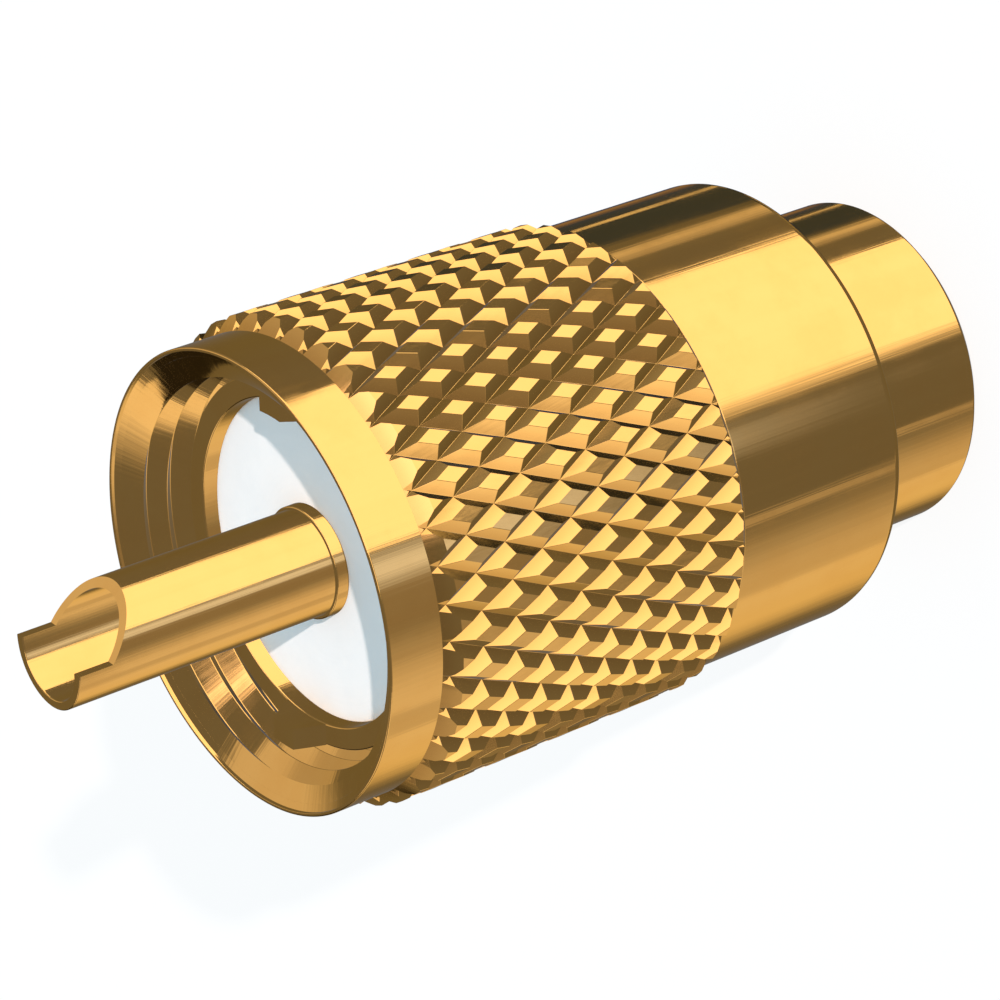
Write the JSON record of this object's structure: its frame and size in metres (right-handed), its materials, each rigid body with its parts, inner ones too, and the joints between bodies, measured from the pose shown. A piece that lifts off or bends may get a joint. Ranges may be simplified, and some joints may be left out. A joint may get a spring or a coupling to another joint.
{
  "type": "uhf coaxial plug",
  "caption": "Gold-plated UHF coaxial plug with a knurled coupling nut, white insulator and hollow centre pin with a solder scoop.",
  "frame": {"origin": "centre of the plug body's rear end face, where the cable goes in; the plug stands on this face", "axes": "+Z along the axis to the tip of the centre contact; the contact's scoop opens towards -Y and the two locating teeth lie on the Y axis"},
  "size_m": [0.0184, 0.0184, 0.038],
  "materials": {
    "gold_body": "polished gold plate",
    "gold_nut": "polished gold plate",
    "white_insulator": "smooth white fluoropolymer",
    "gold_contact": "polished gold plate"
  },
  "bodies": {
    "body": {"plug_body": "gold_body", "insulator": "white_insulator", "centre_contact": "gold_contact"},
    "nut": {"coupling_nut": "gold_nut"}
  },
  "joints": [
    {"name": "nut_turn", "type": "hinge", "parent": "body", "child": "nut", "pos_m": [0, 0, 0.018], "axis": [0, 0, 1], "continuous": true}
  ]
}
